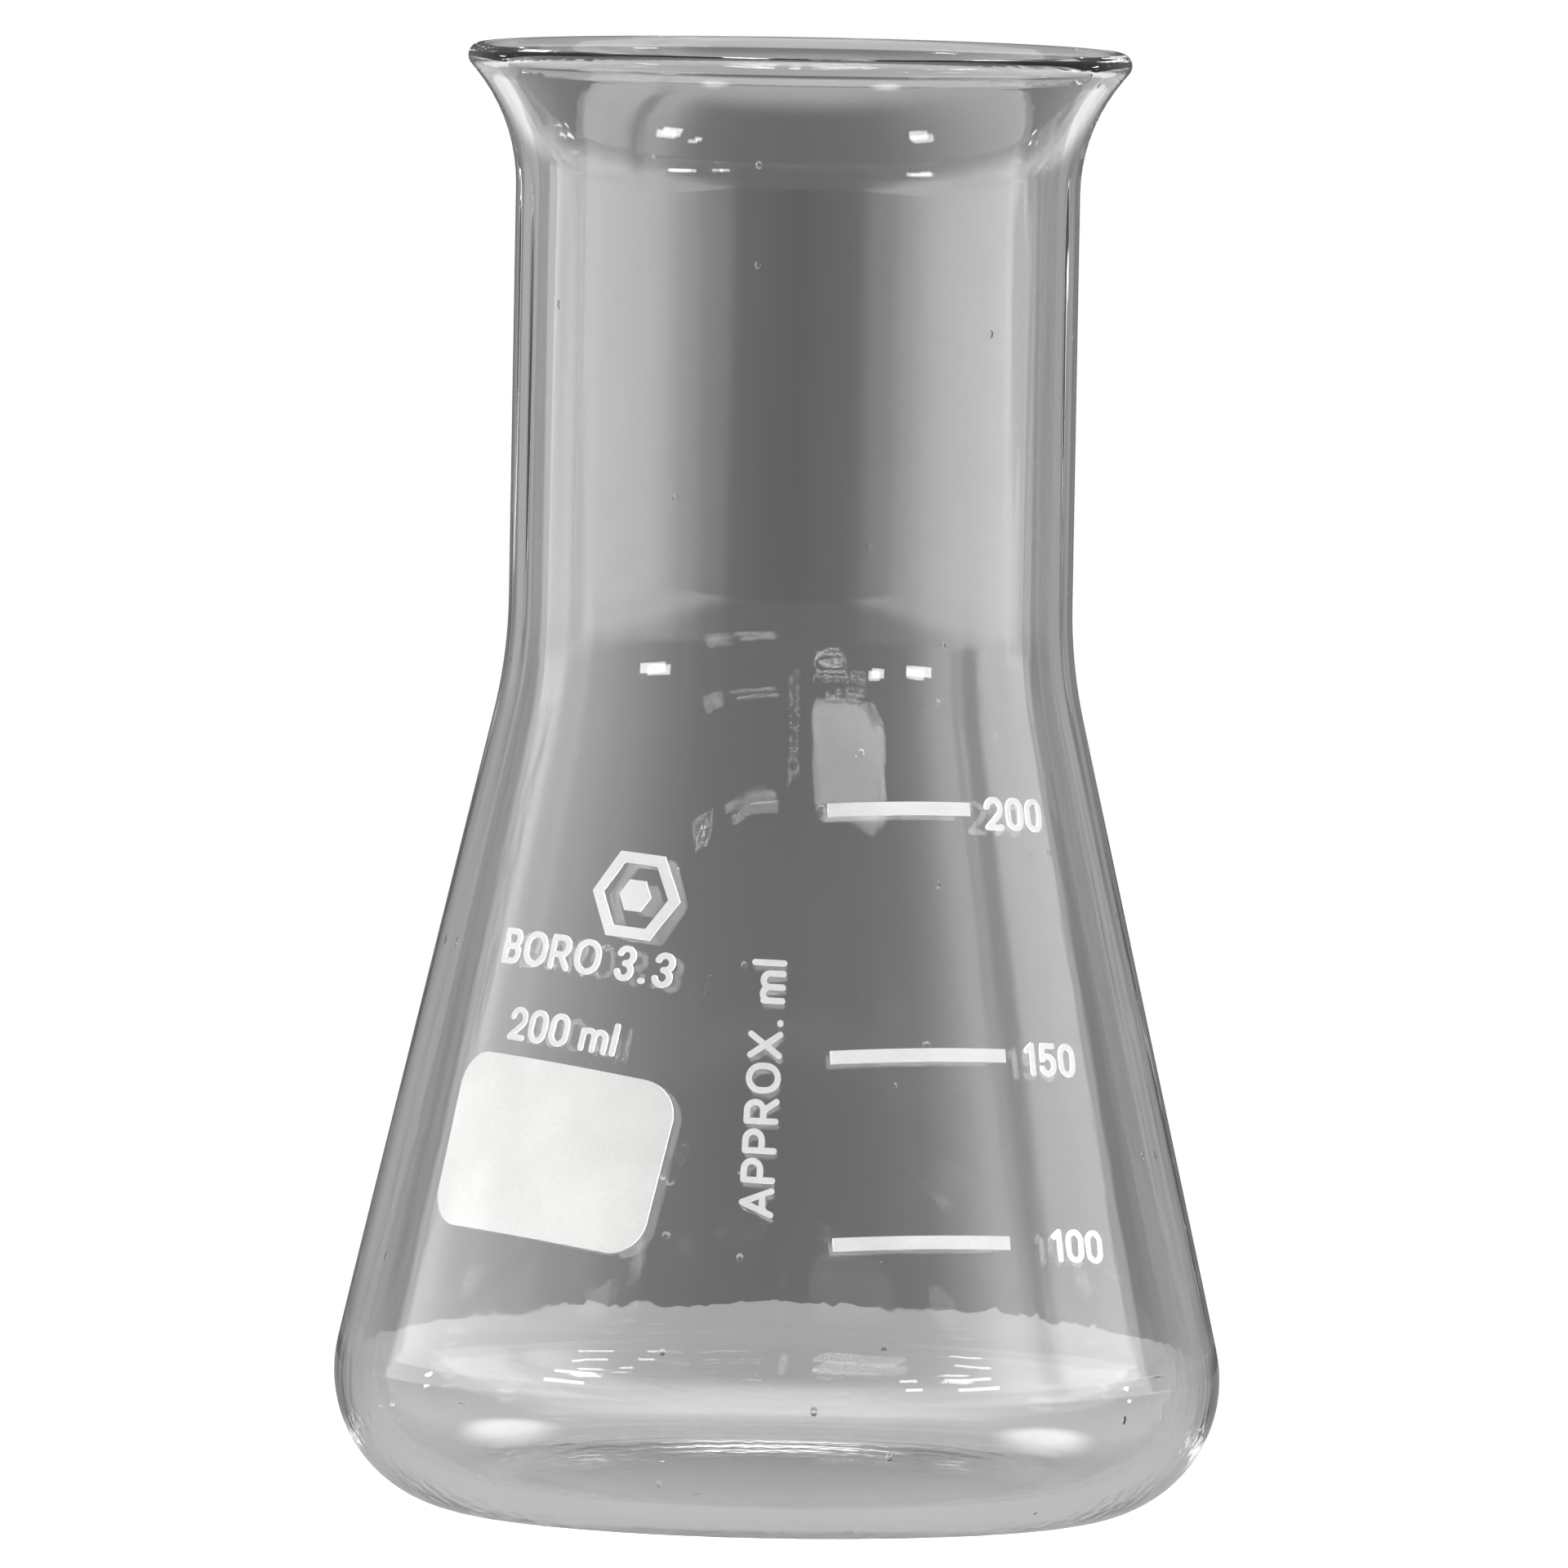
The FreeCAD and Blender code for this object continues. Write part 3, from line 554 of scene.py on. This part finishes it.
def make_world():
    """White for the camera's own rays, and a grey room with windows for all that the glass shows."""
    world = bpy.data.worlds.new("studio")
    bpy.context.scene.world = world
    world.use_nodes = True
    tree = world.node_tree
    tree.nodes.clear()
    output = tree.nodes.new("ShaderNodeOutputWorld")
    paths = tree.nodes.new("ShaderNodeLightPath")
    room = tree.nodes.new("ShaderNodeBackground")
    mirrored = math_node(tree, "GREATER_THAN", paths.outputs["Glossy Depth"], 0)
    matt = math_node(tree, "GREATER_THAN", paths.outputs["Diffuse Depth"], 0)
    share = smooth_step(tree, mirrored, 0, 1, MATT_SHARE - 1, MIRRORED_SHARE - 1)
    change = math_node(tree, "MULTIPLY", matt, share)
    strength = math_node(tree, "MULTIPLY", math_node(tree, "ADD", change, 1), ROOM_PEAK)
    tree.links.new(strength, room.inputs["Strength"])
    bounced = math_node(tree, "ADD", paths.outputs["Glossy Depth"], paths.outputs["Diffuse Depth"])
    clear = math_node(tree, "LESS_THAN", bounced, 1)
    evened = math_node(tree, "MULTIPLY", matt, EVEN_SHARE)
    lit = grey_mix(tree, evened, room_level(tree, clear), grey(EVEN_LIGHT / ROOM_PEAK))
    tree.links.new(lit, room.inputs["Color"])
    white = tree.nodes.new("ShaderNodeBackground")
    white.inputs["Color"].default_value = (1, 1, 1, 1)
    mix = tree.nodes.new("ShaderNodeMixShader")
    tree.links.new(paths.outputs["Is Camera Ray"], mix.inputs[0])
    tree.links.new(room.outputs[0], mix.inputs[1])
    tree.links.new(white.outputs[0], mix.inputs[2])
    tree.links.new(mix.outputs[0], output.inputs["Surface"])


def flat_piece(name, corners, material):
    """A flat piece of the stage."""
    mesh = bpy.data.meshes.new(name)
    mesh.from_pydata(corners, [], [tuple(range(len(corners)))])
    mesh.materials.append(material)
    piece = bpy.data.objects.new(name, mesh)
    bpy.context.scene.collection.objects.link(piece)
    return piece


def distance_from_axis(tree):
    """How far a place on the floor is from the flask's axis, in metres."""
    place = tree.nodes.new("ShaderNodeNewGeometry")
    length = tree.nodes.new("ShaderNodeVectorMath")
    length.operation = "LENGTH"
    tree.links.new(place.outputs["Position"], length.inputs[0])
    return length.outputs["Value"]


# The paper, which fades into the white background over these distances from the axis.
PAPER_COLOUR = (0.9, 0.9, 0.9, 1)
PAPER_FADE = (0.05, 0.30)
PAPER_RADIUS = 4.0
PAPER_CORNERS = 72

# The table that the glass shows: half its width, how far it reaches to the front and the back,
# and how far it lies under the paper. Its light is painted on as a glow, not cast by the lamps.
# Its middle goes from NEAR_LIGHT, a painted pool of light at the flask, to TABLE_LIGHT, and its
# sides rise to SIDE_LIGHT, painted light that only mirrored rays see, each over its own distances.
TABLE_SIDE = 0.9
TABLE_FRONT = -0.7
TABLE_BACK = 0.248
TABLE_DROP = 0.1 * MM
NEAR_LIGHT = 0.52
NEAR_FADE = (0.03, 0.10)
SIDE_LIGHT = 1.9
SIDE_RISE = (0.28, 0.52)

# The painted glint patch on the right, a glow standing in for light that the glass would gather,
# which the left mirrors, its edge and its light.
PATCH_PLACE = (0.046, -0.036, 0)
PATCH_EDGE = (0.004, 0.014)
PATCH_LIGHT = 9.0


def paper_material():
    """Pale matt paper that fades into the white background away from the flask."""
    material, tree, output = node_material("pale_paper")
    paper = tree.nodes.new("ShaderNodeBsdfDiffuse")
    paper.inputs["Color"].default_value = PAPER_COLOUR
    white = tree.nodes.new("ShaderNodeEmission")
    mix = tree.nodes.new("ShaderNodeMixShader")
    fade = smooth_step(tree, distance_from_axis(tree), *PAPER_FADE)
    tree.links.new(fade, mix.inputs[0])
    tree.links.new(paper.outputs[0], mix.inputs[1])
    tree.links.new(white.outputs[0], mix.inputs[2])
    tree.links.new(mix.outputs[0], output.inputs["Surface"])
    return material


def table_material():
    """The top of the table, as the glass shows it, with its light painted on as a glow.

    The painted light is brighter close to the flask and, in mirrored light, towards its sides. A
    painted glint patch, which stands in for light that the glass would gather, lies in front of the
    flask on each side.
    """
    material, tree, output = node_material("painted_light_table")
    place = tree.nodes.new("ShaderNodeNewGeometry")
    split = tree.nodes.new("ShaderNodeSeparateXYZ")
    tree.links.new(place.outputs["Position"], split.inputs[0])
    aside = math_node(tree, "ABSOLUTE", split.outputs["X"])
    # Painted light on the sides, seen by mirrored rays only.
    sides = smooth_step(tree, aside, *SIDE_RISE, 0.0, SIDE_LIGHT)
    # Painted pool of light, brightest at the flask.
    middle = smooth_step(tree, distance_from_axis(tree), *NEAR_FADE, NEAR_LIGHT, TABLE_LIGHT)

    folded = tree.nodes.new("ShaderNodeCombineXYZ")
    tree.links.new(aside, folded.inputs["X"])
    tree.links.new(split.outputs["Y"], folded.inputs["Y"])
    glint_distance = tree.nodes.new("ShaderNodeVectorMath")
    glint_distance.operation = "DISTANCE"
    glint_distance.inputs[1].default_value = PATCH_PLACE
    tree.links.new(folded.outputs[0], glint_distance.inputs[0])
    # Painted glints: a glow on each side, seen only by rays that have not passed through the glass.
    patch = smooth_step(tree, glint_distance.outputs["Value"], *PATCH_EDGE, PATCH_LIGHT, 0.0)
    paths = tree.nodes.new("ShaderNodeLightPath")
    outer = math_node(tree, "LESS_THAN", paths.outputs["Transmission Depth"], 1)
    glint = math_node(tree, "MULTIPLY", patch, outer)
    mirrored = math_node(tree, "GREATER_THAN", paths.outputs["Glossy Depth"], 0)
    beyond = math_node(tree, "MULTIPLY", sides, mirrored)

    light = tree.nodes.new("ShaderNodeEmission")
    total = math_node(tree, "ADD", math_node(tree, "ADD", beyond, middle), glint)
    tree.links.new(total, light.inputs["Strength"])
    tree.links.new(light.outputs[0], output.inputs["Surface"])
    return material


def make_floor():
    """Paper that only the camera sees, and a table with painted light that only the glass sees."""
    corner_turn = 2 * math.pi / PAPER_CORNERS
    rim = [
        (PAPER_RADIUS * math.cos(i * corner_turn), PAPER_RADIUS * math.sin(i * corner_turn), 0)
        for i in range(PAPER_CORNERS)]
    paper = flat_piece("paper", rim, paper_material())
    paper.visible_transmission = False
    paper.visible_glossy = False
    paper.visible_diffuse = False
    corners = [
        (-TABLE_SIDE, TABLE_FRONT, -TABLE_DROP), (TABLE_SIDE, TABLE_FRONT, -TABLE_DROP),
        (TABLE_SIDE, TABLE_BACK, -TABLE_DROP), (-TABLE_SIDE, TABLE_BACK, -TABLE_DROP)]
    table = flat_piece("table", corners, table_material())
    table.visible_camera = False
    table.visible_shadow = False


# Lamps that face the flask: azimuth, where 0 is the front and 90 is +X, and elevation in degrees,
# then width and height in metres. The first three are windows, the next three are low, bright
# screens, and the last two stand behind the flask.
LAMPS = (
    (-58, 31, 0.22, 0.14), (62, 30, 0.22, 0.14), (48, 27, 0.10, 0.07),
    (-57, 8, 0.30, 0.05), (54, 8, 0.30, 0.05), (36, 9, 0.12, 0.05),
    (-130, 16, 0.10, 0.05), (128, 16, 0.12, 0.05))
LAMP_DISTANCE = 1.5
LAMP_RADIANCE = 15.0
LAMP_AIM = Vector((0, 0, 65 * MM))


def softbox(name, azimuth, elevation, width, height):
    """A rectangular area lamp."""
    turn, rise = math.radians(azimuth), math.radians(elevation)
    back = Vector((math.sin(turn) * math.cos(rise), -math.cos(turn) * math.cos(rise), math.sin(rise)))
    lamp = bpy.data.lights.new(name, "AREA")
    lamp.shape = "RECTANGLE"
    lamp.size = width
    lamp.size_y = height
    lamp.energy = LAMP_RADIANCE * math.pi * width * height
    box = bpy.data.objects.new(name, lamp)
    box.location = LAMP_AIM + back * LAMP_DISTANCE
    box.rotation_euler = back.to_track_quat("Z", "Y").to_euler()
    box.visible_camera = False
    bpy.context.scene.collection.objects.link(box)


def make_lights():
    """The lamps, by number."""
    for number, (azimuth, elevation, width, height) in enumerate(LAMPS):
        softbox(f"window_{number}", azimuth, elevation, width, height)


# The camera stands in front, a little above, and leans a little to the left. It aims beside the
# middle of the flask, by this much to the left and down.
CAMERA_DISTANCE = 2.6
CAMERA_PITCH = math.radians(3.4)
CAMERA_ROLL = math.radians(1.03)
CAMERA_AIM_LEFT = 0.31 * MM
CAMERA_AIM_DOWN = 0.25 * MM
CAMERA_SENSOR_MM = 36
CAMERA_LENS_MM = 668.7


def make_camera():
    """The camera of the photograph."""
    low, high = cad_box
    toward = Vector((0, math.cos(CAMERA_PITCH), -math.sin(CAMERA_PITCH)))
    right = Vector((1, 0, 0))
    up = right.cross(toward)
    aim = (low + high) / 2 - right * CAMERA_AIM_LEFT - up * CAMERA_AIM_DOWN
    camera_right = right * math.cos(CAMERA_ROLL) + up * math.sin(CAMERA_ROLL)
    camera_up = up * math.cos(CAMERA_ROLL) - right * math.sin(CAMERA_ROLL)
    data = bpy.data.cameras.new("camera")
    data.sensor_width = CAMERA_SENSOR_MM
    data.lens = CAMERA_LENS_MM
    camera = bpy.data.objects.new("camera", data)
    turn = Matrix((camera_right, camera_up, -toward)).transposed().to_4x4()
    camera.matrix_world = Matrix.Translation(aim - toward * CAMERA_DISTANCE) @ turn
    bpy.context.scene.collection.objects.link(camera)
    bpy.context.scene.camera = camera


# Light crosses the wall and turns back in it many times, and the mirror image of the print in the
# glass is brighter than the default limit on indirect light allows.
LIGHT_BOUNCES = 24
INDIRECT_LIMIT = 25


def set_light_limits():
    """How far light is followed, how bright it may be, and how it is shown."""
    cycles = bpy.context.scene.cycles
    cycles.max_bounces = LIGHT_BOUNCES
    cycles.transmission_bounces = LIGHT_BOUNCES
    cycles.glossy_bounces = LIGHT_BOUNCES
    cycles.sample_clamp_indirect = INDIRECT_LIMIT
    bpy.context.scene.view_settings.view_transform = "Standard"


make_glass()
finish_enamel()
make_world()
make_floor()
make_lights()
make_camera()
set_light_limits()
